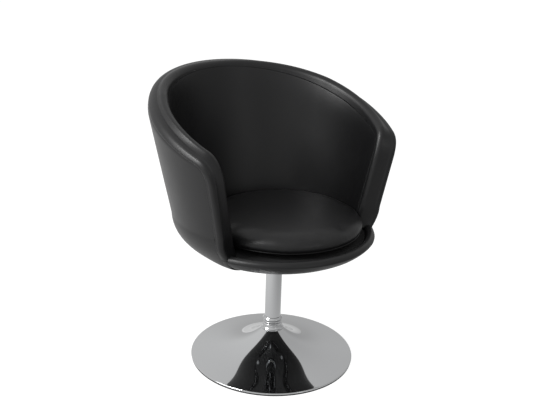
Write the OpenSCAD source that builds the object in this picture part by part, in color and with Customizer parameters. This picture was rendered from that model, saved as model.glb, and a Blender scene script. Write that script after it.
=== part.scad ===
// Pedestal swivel armchair: an upholstered tub that turns on a chromed column and trumpet foot.
// The origin is on the floor under the column, +Z is up and the sitter faces -Y.

/* [Foot] */
// Diameter of the foot over its rolled edge
foot_d = 450; // [400:1:520]
// Height of the foot's neck, where the collar stands
neck_h = 81; // [65:1:110]
// Diameter of the foot's neck
neck_d = 60; // [56:1:72]
// Thickness of the foot's spun sheet
sheet_t = 1.5; // [1:0.1:2.5]
// Radius of the rolled edge
roll_r = 2.5; // [2:0.1:4]
// Fall of the foot's outer part, a share of its run
fall_share = 0.15; // [0.08:0.01:0.2]
// How sharply the foot sweeps up to its neck
sweep = 3.5; // [2.5:0.1:5]
// Thickness of the mat the foot stands on
mat_t = 3; // [2:0.5:6]
// Clear ring between the weight plate and the foot's outer edge
weight_margin = 30; // [27:1:55]
// Thickness of the weight plate
weight_t = 6; // [4:0.5:7]

/* [Column] */
// Outside diameter of the column
column_d = 44; // [42:1:48]
// Wall of the column
column_wall = 2; // [1.5:0.1:3]
// Height of the collar round the column's foot
collar_h = 37; // [25:1:50]
// Diameter of the collar at its top
collar_top_d = 54; // [52:1:58]
// Diameter of the clamp bolt
clamp_d = 12; // [10:1:14]
// Diameter of the spindle
spindle_d = 25; // [20:1:28]
// Distance between the two bushes' outer ends
bush_span = 120; // [90:1:150]
// Length of each bush in the column
bush_l = 28; // [20:1:36]

/* [Seat plate] */
// Side of the square seat plate
plate_side = 160; // [150:1:170]
// Thickness of the seat plate
plate_t = 4; // [3:0.5:6]
// Distance between the plate's bolts
bolt_pitch = 120; // [110:1:126]
// Diameter of the plate's bolts
bolt_d = 8; // [6:1:8]

/* [Tub] */
// Height of the back over the floor
back_h = 774; // [740:1:820]
// Height of the arms at their front, before their corner is rounded
arm_h = 624; // [600:1:680]
// How far the rim bulges over a straight line from arm to back
rim_bulge = 4; // [0:1:12]
// Height of the tub's underside over the floor
under_h = 312; // [300:1:340]
// Height of the rounded bottom, up to the conical wall
bowl_h = 120; // [100:1:130]
// Outside radius of the tub where its conical wall begins
bowl_r = 277.5; // [265:0.5:300]
// Radius of the flat part of the underside
flat_r = 100; // [96:1:110]
// Outward lean of the wall, a share of its rise
lean_share = 0.21; // [0.12:0.01:0.24]
// Thickness of the upholstered wall
wall_t = 44; // [40:1:50]
// Radius along both edges of the rim
edge_r = 15; // [12:0.5:17]
// Distance from the tub's axis to the front edges of the arms, at their top
arm_front = 137; // [120:1:150]
// How far back the arms' front edges lean from their top down to the deck
front_rake = 15; // [0:1:25]
// Reach of each arm's rounded corner along the rim
corner_reach = 36; // [25:1:60]
// Drop of each arm's rounded corner down its front edge
corner_drop = 52; // [35:1:90]
// How far the tub's axis lies ahead of the column
tub_ahead = 5; // [0:1:15]

/* [Upholstery] */
// Thickness of the artificial leather
skin_t = 1.2; // [1:0.1:1.6]
// Thickness of the wadding under the outer cover
wadding_t = 2.7; // [2:0.1:4]
// Thickness of the moulded shell
shell_t = 9; // [7:0.5:11]
// Thickness of the seat board
board_t = 15; // [12:1:18]
// Height of the deck above the underside
deck_rise = 61; // [56:1:66]
// Radius of the front lip's roll
lip_r = 12.5; // [10:0.5:14]
// How far the lip's face swells out under its roll
lip_puff = 3; // [0:0.5:5]
// How far the front lip stands out from the tub's surface
lip_over = 5.5; // [0:0.5:9]
// Gap between the loose cushion's edge and the wall beside it
cushion_room = 6.6; // [5:0.2:20]
// Thickness of the cushion at its edge
cushion_t = 54; // [44:1:60]
// Rise of the cushion's crown over its edge
crown_h = 12; // [4:1:20]
// How far the cushion's centre lies ahead of the tub's axis
cushion_ahead = 10; // [0:1:14]

/* [Hidden] */
$fn = 96;
quarter = 90;        // a quarter turn
over = 1;            // overrun of every cut
touch = 0.1;         // gap between flat faces that bear on each other
soft_gap = 0.3;      // gap between layers of the upholstery
run_gap = 0.05;      // radial clearance of turned parts that fit in each other
far = 3 * back_h;    // reach of the big cutting blocks

// Foot
foot_r = foot_d / 2;
neck_r = neck_d / 2;
column_r = column_d / 2;
bore_r = column_r - column_wall;
roll_z = mat_t + touch + roll_r;
rim_r = foot_r - roll_r;
rim_z = roll_z + roll_r;
mat_r = rim_r + roll_r / 2;
profile_steps = 26;
// Height of the foot's outer surface at radius r
function foot_z(r) =
    let (run = rim_r - neck_r, w = max(0, (rim_r - r) / run), slope = fall_share * run)
    rim_z + slope * w + (neck_h - rim_z - slope) * pow(w, sweep);
// Radii along the foot, closer together near the neck
foot_radii = [for (i = [0 : profile_steps])
    rim_r - (rim_r - neck_r) * sin(quarter * i / profile_steps)];

// Clamp under the foot
clamp_head_af = 1.6 * clamp_d;
clamp_head_h = 0.6 * clamp_d;
clamp_washer_r = 1.7 * clamp_d;
clamp_washer_t = 2.5;
spring_t = 2.2;
spring_r = 0.85 * clamp_d;
head_room = 2;
dish_z = mat_t + 2 * touch + clamp_head_h + spring_t + clamp_washer_t + head_room;
dish_r = 1.5 * clamp_washer_r;
dish_run = dish_z - mat_t;
weight_r = foot_r - weight_margin;
plug_l = 25;
clamp_l = clamp_washer_t + spring_t + weight_t + 0.7 * plug_l;
column_bottom = dish_z + weight_t + touch;

// Swivel
plate_top = under_h - skin_t - 2 * touch;
hub_h = 14;
hub_r = spindle_d / 2 + column_d / 3;
washer_t = 2;
flange_t = 2.5;
hub_bottom = plate_top - plate_t - hub_h;
thrust_top = hub_bottom - touch;
flange_top = thrust_top - washer_t - touch;
column_top = flange_top - flange_t - touch;
lower_bush_z = column_top - bush_span;
groove_t = 1.6;
groove_depth = 1.2;
groove_r = spindle_d / 2 - groove_depth;
ring_rim = 3;
ring_r = spindle_d / 2 + ring_rim;
ring_z = lower_bush_z - soft_gap - groove_t;
spindle_tail = 6;
bolt_r = bolt_d / 2;
play = 0.5;          // radial play of holes that bolts pass through
bolt_hole_r = bolt_r + play;
bolt_washer_t = 1.6;
bolt_washer_r = 2.1 * bolt_r;
bolt_head_af = 1.625 * bolt_d;
bolt_head_h = 0.66 * bolt_d;
bolt_l = 35;
tee_wall = 1.2;
tee_r = bolt_r + tee_wall;
tee_flange_r = 2.7 * bolt_r;
tee_flange_t = 1.5;

// Layers of the tub, as depths under its outer surface
wadding_d = skin_t + soft_gap;
shell_d = wadding_d + wadding_t + soft_gap;
padding_d = shell_d + shell_t + soft_gap;
lining_d = wall_t - skin_t;
bowl_top = under_h + bowl_h;
deck_z = under_h + deck_rise;
deck_top = deck_z + soft_gap + skin_t;
board_z = under_h + shell_d + shell_t + touch;
board_r = 1.1 * flat_r;
opening_r = 0.96 * flat_r;
dust_r = 1.06 * flat_r;
lip_axis_z = deck_z - touch;
lip_low = under_h + bowl_h / 5;

// The tub's outer surface: a cone over an elliptical bowl. Place m counts along it: above zero
// up the cone, below zero down round the bowl. Depth d counts inwards.
bowl_run = bowl_r - flat_r;
bowl_mean = (bowl_run + bowl_h) / 2;
function bowl_turn(m) = -m / bowl_mean * 180 / PI;
function wall_r(m, d) = m >= 0 ? bowl_r + lean_share * m - d
                               : flat_r + (bowl_run - d) * cos(bowl_turn(m));
function wall_z(m, d) = m >= 0 ? bowl_top + m : bowl_top - (bowl_h - d) * sin(bowl_turn(m));
// Place m of height z on the surface at depth d
function place_at(z, d = 0) = z >= bowl_top
    ? z - bowl_top : -asin((bowl_top - z) / (bowl_h - d)) * PI / 180 * bowl_mean;
// The wall's inner face is a cone down to the deck, so the wall thins from the bowl's top down
function cone_r(z, d) = bowl_r + lean_share * (z - bowl_top) - d;
function rim_r(m, d) =
    let (r = wall_r(m, 0)) r - (r - cone_r(wall_z(m, 0), wall_t)) * d / wall_t;
function rim_point(a, m, d) = [rim_r(m, d) * sin(a), -rim_r(m, d) * cos(a), wall_z(m, 0)];

// The rim seen from the side: a shallow curve from back to arm, a rounded corner and the arm's
// front edge, leaning a little, down to the deck. A radial seam goes on from there, down the bowl.
back_y = bowl_r + lean_share * (back_h - bowl_top);
rim_run = back_y + arm_front;
function rim_z_at(y) =
    let (w = (y + arm_front) / rim_run) arm_h + (back_h - arm_h) * w + 4 * rim_bulge * w * (1 - w);
corner_y = corner_reach - arm_front;
rim_grade = (rim_z_at(corner_y + over) - rim_z_at(corner_y)) / over;
corner_z = rim_z_at(corner_y) - rim_grade * corner_reach;
seam_z = deck_top + soft_gap;
seam_m = place_at(seam_z);
// The front edge as seen from the side, at height z
function front_y(z) = front_rake * (corner_z - z) / (corner_z - seam_z) - arm_front;
seam_a = acos(-front_y(seam_z) / wall_r(seam_m, 0));
seam_end = place_at(lip_low);
lip_reach = wall_r(place_at(lip_axis_z), 0) + lip_over;
lip_axis_r = lip_reach - lip_r;
function turn_of(y, z) = acos(-y / wall_r(place_at(z), 0));
rim_steps = 20;
corner_steps = 6;
front_steps = 8;
// One side's outline from the back to the underside, as [turn from the front, place m]
half_outline = concat(
    [for (i = [0 : rim_steps - 1])
        let (a = 180 - (180 - turn_of(corner_y, rim_z_at(corner_y))) * i / rim_steps,
             y = -cos(a) * (back_y - (1 - a / (2 * quarter)) * lean_share * (back_h - arm_h)),
             z = rim_z_at(y))
        [turn_of(y, z), place_at(z)]],
    [for (i = [0 : corner_steps])
        let (v = i / corner_steps, u = 1 - v,
             y = u * u * corner_y - 2 * u * v * arm_front + v * v * front_y(corner_z - corner_drop),
             z = u * u * rim_z_at(corner_y) + 2 * u * v * corner_z
                 + v * v * (corner_z - corner_drop))
        [turn_of(y, z), place_at(z)]],
    [for (i = [1 : front_steps])
        let (z = corner_z - corner_drop - (corner_z - corner_drop - seam_z) * i / front_steps)
        [turn_of(front_y(z), z), place_at(z)]]);
half_count = len(half_outline);
outline = concat(
    [for (i = [half_count - 1 : -1 : 1]) [-half_outline[i][0], half_outline[i][1]]],
    half_outline);
outline_count = len(outline);

// Direction into the wall from outline point i, as [along the turn, along m]. At both ends it
// is level, so that the ends stand on the deck.
function wrap(a) = a < 0 ? a + 360 : a;
function inward(i) =
    let (p = outline[max(0, i - 1)], q = outline[min(outline_count - 1, i + 1)],
         r = wall_r(outline[i][1], 0),
         s = (wrap(q[0]) - wrap(p[0])) * PI / 180 * r, m = q[1] - p[1],
         turn = abs(s) > PI * r ? s - sign(s) * 2 * PI * r : s,
         l = norm([turn, m]))
    i == 0 ? [-1, 0] : i == outline_count - 1 ? [1, 0] : [-m / l, turn / l];
// Outline point i moved inwards by p, as [turn, place m]
function inset(i, p) =
    let (n = inward(i), o = outline[i])
    [o[0] + n[0] * p / wall_r(o[1], 0) * 180 / PI, o[1] + n[1] * p];

// Radius of the layer at depth d, at height z
function layer_r(z, d) = wall_r(place_at(z, d), d);
// Side view of the tub inside its outline, moved inwards by p. The cut layer's radius is a
// function of height.
function side_view(p, radius) = [for (i = [half_count - 1 : outline_count - 1])
    let (o = inset(i, p), z = wall_z(o[1], 0)) [-radius(z) * cos(o[0]), z]];
// A straight cut through a layer of thickness t strays this far from the rim's own slope
rim_stray_share = max((back_h - arm_h) / rim_run, 1 / tan(seam_a));
function cut_gap(t) = rim_stray_share * t / 2 + soft_gap;

module side_cut(p, radius) {
    // Keeps what lies under the rim and behind the arms' front edges, on down to the floor
    edge = side_view(p, radius);
    last = edge[len(edge) - 1];
    above = edge[len(edge) - 2];
    floor_y = last[0] + (last[0] - above[0]) * last[1] / (above[1] - last[1]);
    rotate([90, 0, 90])
        linear_extrude(far, center = true)
            polygon(concat([[far, edge[0][1]]], edge, [[floor_y, 0], [far, 0]]));
}

module seam_wedge(p) {
    // The front of the bowl between the arms' seams, where the lip lies
    a = seam_a + p / wall_r(seam_m, 0) * 180 / PI;
    translate([0, 0, lip_low])
        linear_extrude(seam_z - lip_low)
            polygon([[0, 0], [-far * sin(a), -far * cos(a)], [0, -far * 2],
                     [far * sin(a), -far * cos(a)]]);
}

function reversed(list) = [for (i = [len(list) - 1 : -1 : 0]) list[i]];
bowl_steps = 16;
bowl_floor = -quarter * PI / 180 * bowl_mean;
wall_top = back_h - bowl_top + over;
// The surface at depth d from place m_low, round the bowl, up to the rim
function layer_side(d, m_low) =
    concat([for (i = [0 : bowl_steps])
            let (m = m_low * (1 - i / bowl_steps)) [wall_r(m, d), wall_z(m, d)]],
           [[wall_r(wall_top, d), wall_z(wall_top, d)]]);

module bowl_band(d1, d2, hole_r) {
    // A layer between depths d1 and d2, with a flat floor that is open inside hole_r
    rotate_extrude()
        polygon(concat([[hole_r, under_h + d1]], layer_side(d1, bowl_floor),
                       reversed(layer_side(d2, bowl_floor)), [[hole_r, under_h + d2]]));
}

module on_tub() {
    translate([0, -tub_ahead, 0]) children();
}

module ring(r_out, r_in, z, h) {
    translate([0, 0, z])
        difference() {
            cylinder(r = r_out, h = h);
            translate([0, 0, -over]) cylinder(r = r_in, h = h + 2 * over);
        }
}

module at_bolts() {
    for (x = [-1, 1], y = [-1, 1])
        translate([x * bolt_pitch / 2, y * bolt_pitch / 2, 0]) children();
}

module bolt_holes(r, z, h) {
    at_bolts() translate([0, 0, z]) cylinder(r = r, h = h);
}

module hex_bolt(r, length, head_af, head_h, z) {
    // A bolt whose head ends at height z, with its shank above
    translate([0, 0, z - head_h]) cylinder(r = head_af / sqrt(3), h = head_h, $fn = 6);
    translate([0, 0, z - over / 2]) cylinder(r = r, h = length + over / 2);
}

module floor_mat() {
    color("#1b1b1b") cylinder(r = mat_r, h = mat_t);
}

module weight_plate() {
    hole_r = clamp_d / 2 + play;
    low = mat_t + touch;
    color("#4a4d50")
        rotate_extrude()
            polygon([[hole_r, dish_z], [dish_r, dish_z], [dish_r + dish_run, low],
                     [weight_r, low], [weight_r, low + weight_t],
                     [dish_r + dish_run + weight_t / 2, low + weight_t],
                     [dish_r + weight_t / 2, dish_z + weight_t], [hole_r, dish_z + weight_t]]);
}

module foot_trumpet() {
    outer = [for (r = foot_radii) [r, foot_z(r)]];
    inner = [for (r = foot_radii) [r - sheet_t * 0.3, foot_z(r) - sheet_t]];
    hole_r = column_r + run_gap * 2;
    color("#b8babd")
        rotate_extrude() {
            polygon(concat(outer, [[hole_r, neck_h], [hole_r, neck_h - sheet_t]],
                           reversed(inner)));
            translate([rim_r, roll_z]) circle(r = roll_r, $fn = 32);
        }
}

module neck_collar() {
    low = neck_h + touch;
    foot_bead = 2.2;
    top_bead = 1.6;
    mid_r = collar_top_d / 2 - top_bead / 2;
    hole_r = column_r + run_gap * 2;
    color("#c4c6c8")
        rotate_extrude() {
            polygon([[hole_r, low], [neck_r, low], [neck_r, low + foot_bead],
                     [mid_r, low + collar_h / 3], [mid_r - top_bead / 2, low + collar_h / 2],
                     [mid_r - top_bead / 2, low + collar_h - 2 * top_bead],
                     [mid_r, low + collar_h - top_bead], [mid_r, low + collar_h],
                     [hole_r, low + collar_h]]);
            translate([neck_r - foot_bead / 2, low + foot_bead]) circle(r = foot_bead, $fn = 24);
            translate([mid_r - top_bead / 2, low + collar_h - top_bead])
                circle(r = top_bead, $fn = 24);
        }
}

module column_tube() {
    color("#c9cbcd") ring(column_r, bore_r, column_bottom, column_top - column_bottom);
}

module column_plug() {
    color("#7d8083") ring(bore_r - run_gap, clamp_d / 2 + run_gap, column_bottom, plug_l);
}

module clamp_bolt() {
    color("#8b8e91")
        hex_bolt(clamp_d / 2, clamp_l, clamp_head_af, clamp_head_h,
                 dish_z - clamp_washer_t - spring_t - 3 * touch);
}

module clamp_washer() {
    color("#93969a")
        ring(clamp_washer_r, clamp_d / 2 + run_gap * 4, dish_z - clamp_washer_t - touch,
             clamp_washer_t);
}

module spring_washer() {
    slot = clamp_d / 8;
    low = dish_z - clamp_washer_t - spring_t - 2 * touch;
    color("#6f7376")
        difference() {
            ring(spring_r, clamp_d / 2 + run_gap * 4, low, spring_t);
            translate([0, -slot / 2, low - over]) cube([spring_r + over, slot, spring_t + 2 * over]);
        }
}

module lower_bush() {
    color("#e4e0d2") ring(bore_r - run_gap, spindle_d / 2 + run_gap, lower_bush_z, bush_l);
}

module upper_bush() {
    color("#e4e0d2") {
        ring(bore_r - run_gap, spindle_d / 2 + run_gap, column_top - bush_l, bush_l + touch * 2);
        ring(column_r, spindle_d / 2 + run_gap, column_top + touch, flange_t);
    }
}

module thrust_washer() {
    color("#2b2b2b")
        ring(column_r - play, spindle_d / 2 + play, thrust_top - washer_t, washer_t);
}

module spindle() {
    tail = ring_z - spindle_tail;
    color("#9da0a3")
        difference() {
            union() {
                translate([0, 0, tail])
                    cylinder(r = spindle_d / 2, h = plate_top - touch - tail);
                translate([0, 0, hub_bottom]) cylinder(r = hub_r, h = hub_h - touch);
            }
            ring(spindle_d, groove_r, ring_z, groove_t);
        }
}

module retaining_ring() {
    slot = spindle_d / 4;
    thick = groove_t - 2 * touch;
    color("#55585b")
        difference() {
            ring(ring_r, groove_r + run_gap, ring_z + touch, thick);
            translate([0, -slot / 2, ring_z - over]) cube([ring_r + over, slot, groove_t + 2 * over]);
        }
}

module seat_plate() {
    low = plate_top - plate_t;
    color("#2f3133")
        difference() {
            intersection() {
                translate([-plate_side / 2, -plate_side / 2, low])
                    cube([plate_side, plate_side, plate_t]);
                translate([0, 0, low]) cylinder(r = plate_side * 0.66, h = plate_t);
            }
            bolt_holes(bolt_hole_r, low - over, plate_t + 2 * over);
            translate([0, 0, low - over])
                cylinder(r = spindle_d / 2 + run_gap, h = plate_t + 2 * over);
        }
}

module plate_bolts() {
    color("#85888b")
        at_bolts()
            hex_bolt(bolt_r, bolt_l, bolt_head_af, bolt_head_h,
                     plate_top - plate_t - bolt_washer_t - 2 * touch);
}

module plate_washers() {
    color("#9a9da0")
        at_bolts()
            ring(bolt_washer_r, bolt_r + run_gap * 4, plate_top - plate_t - bolt_washer_t - touch,
                 bolt_washer_t);
}

module tee_nuts() {
    top = board_z + board_t;
    barrel = 0.75 * board_t;
    color("#a8a27c")
        at_bolts() {
            ring(tee_flange_r, bolt_r + run_gap, top + touch, tee_flange_t);
            ring(tee_r, bolt_r + run_gap, top - barrel, barrel + touch * 2);
        }
}

module packing_disc() {
    low = under_h + touch;
    high = under_h + shell_d - touch;
    color("#8a6b4a")
        difference() {
            translate([0, 0, low]) cylinder(r = opening_r - soft_gap - tub_ahead, h = high - low);
            bolt_holes(bolt_hole_r, low - over, high - low + 2 * over);
        }
}

module seat_board() {
    // A disc with its lower edge bevelled, clear of the shell's curve
    bevel = board_t / 10;
    color("#c9a36b")
        difference() {
            on_tub()
                rotate_extrude()
                    polygon([[0, board_z], [flat_r, board_z], [board_r, board_z + bevel],
                             [board_r, board_z + board_t], [0, board_z + board_t]]);
            bolt_holes(tee_r + 4 * run_gap, board_z - over, board_t + 2 * over);
        }
}

shell_front_z = deck_z - lip_r;
module shell() {
    color("#b98f5c")
        difference() {
            on_tub() {
                difference() {
                    bowl_band(shell_d, shell_d + shell_t, 0);
                    above_rim(edge_r, function (z) layer_r(z, shell_d + shell_t / 2));
                }
            }
            bolt_holes(bolt_hole_r, under_h, shell_d + shell_t + over);
        }
}

module above_rim(p, radius) {
    // Everything over the rim moved inwards by p, down to the arms' front corner
    edge = side_view(p, radius);
    last = edge[len(edge) - 1];
    rotate([90, 0, 90])
        linear_extrude(far, center = true)
            polygon(concat([[far, edge[0][1]]], edge, [[last[0], shell_front_z], [-far, shell_front_z],
                    [-far, far], [far, far]]));
}

module outer_layer(d1, d2, p) {
    difference() {
        bowl_band(d1, d2, opening_r);
        seam_wedge(p);
        difference() {
            translate([-far / 2, -far / 2, seam_z]) cube([far, far, far]);
            side_cut(p, function (z) layer_r(z, (d1 + d2) / 2));
        }
    }
}

module outer_wadding() {
    color("#d9d6cc")
        on_tub() outer_layer(wadding_d, wadding_d + wadding_t, edge_r + cut_gap(wadding_t));
}

module outer_cover() {
    color("#26272a")
        on_tub() outer_layer(0, skin_t, edge_r + cut_gap(skin_t));
}

// Radius of the padding at height z, share s of the way from the shell to the inner cover
function padding_r(z, s) = wall_r(place_at(z, padding_d), padding_d) * (1 - s)
                           + cone_r(z, lining_d - soft_gap) * s;
padding_strips = 3;
padding_t = lining_d - soft_gap - padding_d;
strip_t = padding_t / padding_strips;
padding_low = seam_z;
// One face of the padding, from its foot up to the rim
function padding_side(s) =
    concat([for (i = [0 : bowl_steps / 2])
            let (z = padding_low + (bowl_top - padding_low) * i / (bowl_steps / 2))
            [padding_r(z, s), z]],
           [[cone_r(back_h + over, padding_d + padding_t * s), back_h + over]]);

module wall_padding() {
    color("#e3d9b0")
        on_tub()
            for (i = [0 : padding_strips - 1])
                let (s1 = i / padding_strips, s2 = (i + 1) / padding_strips,
                     under_band = i == padding_strips - 1 ? cut_gap(strip_t) : 0)
                    intersection() {
                        rotate_extrude()
                            polygon(concat(padding_side(s1), reversed(padding_side(s2))));
                        side_cut(edge_r + under_band, function (z) padding_r(z, (s1 + s2) / 2));
                    }
}

module inner_cover() {
    top = back_h + over;
    color("#232427")
        on_tub()
            intersection() {
                rotate_extrude()
                    polygon([[cone_r(seam_z, lining_d), seam_z], [cone_r(top, lining_d), top],
                             [cone_r(top, wall_t), top], [cone_r(seam_z, wall_t), seam_z]]);
                side_cut(edge_r + cut_gap(skin_t), function (z) cone_r(z, wall_t - skin_t / 2));
            }
}

// Sections of what runs along the rim, as [inset p, depth d] pairs
arc_steps = 3;
function rim_corner(r) = [for (k = [0 : arc_steps]) let (t = quarter * k / arc_steps)
    [edge_r - r * sin(t), edge_r - r * cos(t)]];
function far_side(list) = [for (q = reversed(list)) [q[0], wall_t - q[1]]];
function rim_arch(r) = concat(rim_corner(r), far_side(rim_corner(r)));

module along_rim(section, crossed = false) {
    // Sweeps a closed section along the outline. The section is an arch and its inside, or an
    // arch alone, so both ends are closed by strips between its two halves. Crossed faces
    // match those of the arch that lies outside them.
    around = len(section);
    points = [for (i = [0 : outline_count - 1], q = section)
        let (o = inset(i, q[0])) rim_point(o[0], o[1], q[1])];
    sides = [for (i = [0 : outline_count - 2], j = [0 : around - 1])
        let (a = i * around + j, b = i * around + (j + 1) % around)
        each crossed ? [[a, a + around, b], [b, a + around, b + around]]
                     : [[a, b + around, b], [a, a + around, b + around]]];
    last = (outline_count - 1) * around;
    caps = [for (j = [0 : around / 2 - 2])
        let (a = j, b = j + 1, c = around - 2 - j, d = around - 1 - j)
        each [[a, c, d], [a, b, c], [last + a, last + d, last + c], [last + a, last + c, last + b]]];
    polyhedron(points, concat(sides, [for (t = caps) if (t[0] != t[1] && t[1] != t[2]) t]),
               convexity = 8);
}

module band_tail(side) {
    // The band's outer strip, on down the bowl beside the lip
    width = edge_r / wall_r(seam_m, 0) * 180 / PI;
    start = side > 0 ? seam_a : -seam_a - width;
    high = seam_m - soft_gap;
    face = function (d) [for (i = [0 : lip_steps])
        let (m = seam_end + (high - seam_end) * i / lip_steps) [wall_r(m, d), wall_z(m, d)]];
    rotate([0, 0, start - 90])
        rotate_extrude(angle = width)
            polygon(concat(face(0), reversed(face(skin_t))));
}

module rim_band() {
    color("#2a2b2e")
        on_tub() {
            along_rim(concat(rim_arch(edge_r), reversed(rim_arch(edge_r - skin_t))));
            band_tail(1);
            band_tail(-1);
        }
}

module rim_roll() {
    // Foam over the edge of the shell and of the padding, under the band
    shell_run = layer_r(seam_z, shell_d) - layer_r(seam_z, shell_d + shell_t);
    foot = edge_r - cut_gap(max(shell_run, strip_t));
    corner = rim_corner(edge_r - skin_t - soft_gap);
    u = (corner[0][0] - foot) / (corner[0][0] - corner[1][0]);
    first = corner[0] + (corner[1] - corner[0]) * u;
    half = [first, for (k = [1 : arc_steps]) corner[k]];
    color("#dccfa2") on_tub() along_rim(concat(half, far_side(half)), true);
}

lip_turn = seam_a - 2 * soft_gap / lip_axis_r * 180 / PI;
// The lip's face: the bowl's own curve, swelling out to the roll
function lip_face(z) =
    let (u = (z - lip_low) / (lip_axis_z - lip_low))
    wall_r(place_at(z), 0) + lip_over * u + 4 * lip_puff * u * (1 - u);
lip_steps = 7;
// Section of the lip at depth d under its cover, from the seam below up over the roll
function lip_section(d) =
    concat([for (i = [0 : lip_steps - 1])
            let (z = lip_low + soft_gap + (lip_axis_z - lip_low - soft_gap) * i / lip_steps)
            [lip_face(z) - d, z]],
           [for (t = [0 : 15 : 180])
            [lip_axis_r + (lip_r - d) * cos(t), lip_axis_z + (lip_r - d) * sin(t)]]);

module lip_slice(section) {
    rotate([0, 0, -90 - lip_turn]) rotate_extrude(angle = 2 * lip_turn) polygon(section);
}

module lip_padding() {
    // It hooks over the shell's front edge
    back_d = shell_d - soft_gap;
    high = shell_front_z + soft_gap;
    inside = lip_axis_r - lip_r + wadding_d;
    back = [for (i = [0 : lip_steps])
        let (z = high + (lip_low + soft_gap - high) * i / lip_steps)
        [wall_r(place_at(z, back_d), back_d), z]];
    color("#e3d9b0")
        on_tub() lip_slice(concat(lip_section(wadding_d), [[inside, high]], back));
}

module lip_cover() {
    foot = [[lip_axis_r - lip_r, lip_axis_z - lip_r / 2],
            [lip_axis_r - lip_r + skin_t, lip_axis_z - lip_r / 2]];
    color("#26272a")
        on_tub() lip_slice(concat(lip_section(0), foot, reversed(lip_section(skin_t))));
}

deck_r = lip_axis_r - lip_r - soft_gap;
module deck_pad() {
    low = board_z + board_t + touch + tee_flange_t + soft_gap;
    edge_z = wall_z(-acos((deck_r - flat_r) / (bowl_run - padding_d)) * PI / 180 * bowl_mean,
                    padding_d);
    color("#e3d9b0")
        on_tub()
            rotate_extrude()
                polygon(concat([[0, low]],
                               [for (i = [0 : bowl_steps / 2])
                                let (z = low + (edge_z - low) * i / (bowl_steps / 2))
                                [wall_r(place_at(z, padding_d), padding_d), z]],
                               [[deck_r, deck_z], [0, deck_z]]));
}

module deck_cover() {
    color("#1d1d1f")
        on_tub() translate([0, 0, deck_z + soft_gap])
            cylinder(r = deck_r - soft_gap, h = skin_t);
}

pad_r = 20;
pad_t = 1.1;
pad_count = 4;
module pads(z) {
    for (i = [0 : pad_count - 1])
        rotate([0, 0, 45 + 360 * i / pad_count])
            translate([cushion_r * 0.6, 0, z]) cylinder(r = pad_r, h = pad_t, $fn = 48);
}

hook_z = deck_top + touch;
loop_z = hook_z + pad_t + touch;
cushion_z = loop_z + pad_t + touch;
cushion_r = cone_r(cushion_z + cushion_t / 2, wall_t) - cushion_room;

module on_cushion() {
    on_tub() translate([0, -cushion_ahead, 0]) children();
}

module hook_pads() {
    color("#161616") on_cushion() pads(hook_z);
}

module loop_pads() {
    color("#161616") on_cushion() pads(loop_z);
}

// Half section of the cushion, d inside its surface: rounded edge, drawn-in side, crowned top
function cushion_section(d) =
    let (half = cushion_t / 2, flat = cushion_r - half)
    concat([[0, cushion_z + d]],
           [for (t = [-quarter : quarter / 6 : quarter])
            [flat + (half - d) * cos(t), cushion_z + half + (half - d) * sin(t)]],
           [for (s = [0.85, 0.65, 0.45, 0.2, 0])
            [flat * s, cushion_z + cushion_t - d + crown_h * (1 - s * s)]]);

module seat_cushion() {
    color("#222326")
        on_cushion()
            rotate_extrude()
                polygon(concat(cushion_section(0), reversed(cushion_section(skin_t))));
}

module cushion_core() {
    color("#e3d9b0") on_cushion() rotate_extrude() polygon(cushion_section(skin_t + soft_gap));
}

module dust_cover() {
    low = under_h - skin_t - touch;
    color("#141414")
        difference() {
            on_tub() translate([0, 0, low]) cylinder(r = dust_r, h = skin_t);
            bolt_holes(bolt_hole_r, low - over, skin_t + 2 * over);
        }
}

staple_w = 10;
staple_wire = 0.7;
staple_leg = 8;
staple_turn_shares = [-0.2, -0.1, 0, 0.1, 0.2];
module cover_staples() {
    // Crowns under the dust cover, legs up through the cloth into the shell
    top = under_h - skin_t - touch - soft_gap / 3;
    color("#b5b7b9")
        on_tub()
            for (side = [0 : 3], turn_share = staple_turn_shares)
                rotate([0, 0, 90 * (side + turn_share)])
                    translate([(opening_r + flat_r) / 2 + staple_wire, -staple_w / 2,
                               top - staple_wire]) {
                        cube([staple_wire, staple_w, staple_wire]);
                        cube([staple_wire, staple_wire, staple_leg]);
                        translate([0, staple_w - staple_wire, 0])
                            cube([staple_wire, staple_wire, staple_leg]);
                    }
}

floor_mat();
weight_plate();
foot_trumpet();
neck_collar();
column_tube();
column_plug();
clamp_bolt();
clamp_washer();
spring_washer();
lower_bush();
upper_bush();
thrust_washer();
spindle();
retaining_ring();
seat_plate();
plate_bolts();
plate_washers();
tee_nuts();
packing_disc();
seat_board();
shell();
outer_wadding();
wall_padding();
rim_roll();
outer_cover();
inner_cover();
rim_band();
lip_padding();
lip_cover();
deck_pad();
deck_cover();
hook_pads();
loop_pads();
cushion_core();
seat_cushion();
dust_cover();
cover_staples();
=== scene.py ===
import math

import bmesh
import bpy
import numpy as np
from mathutils import Matrix, Vector
from mathutils.bvhtree import BVHTree


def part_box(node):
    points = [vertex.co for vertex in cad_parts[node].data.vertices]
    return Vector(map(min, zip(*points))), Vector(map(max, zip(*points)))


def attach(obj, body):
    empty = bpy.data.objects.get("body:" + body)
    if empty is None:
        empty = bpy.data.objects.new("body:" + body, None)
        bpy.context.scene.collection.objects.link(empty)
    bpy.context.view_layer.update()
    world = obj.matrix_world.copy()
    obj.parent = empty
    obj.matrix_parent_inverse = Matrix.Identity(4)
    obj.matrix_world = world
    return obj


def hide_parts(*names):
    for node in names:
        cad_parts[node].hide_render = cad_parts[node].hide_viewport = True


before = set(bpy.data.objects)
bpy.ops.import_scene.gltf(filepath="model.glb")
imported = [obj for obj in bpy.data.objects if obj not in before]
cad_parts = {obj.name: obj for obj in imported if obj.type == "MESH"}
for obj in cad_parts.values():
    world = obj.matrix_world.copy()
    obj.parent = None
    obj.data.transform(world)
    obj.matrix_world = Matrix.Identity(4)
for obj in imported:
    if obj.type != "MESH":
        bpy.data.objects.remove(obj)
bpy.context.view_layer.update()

MM = 0.001

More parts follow.
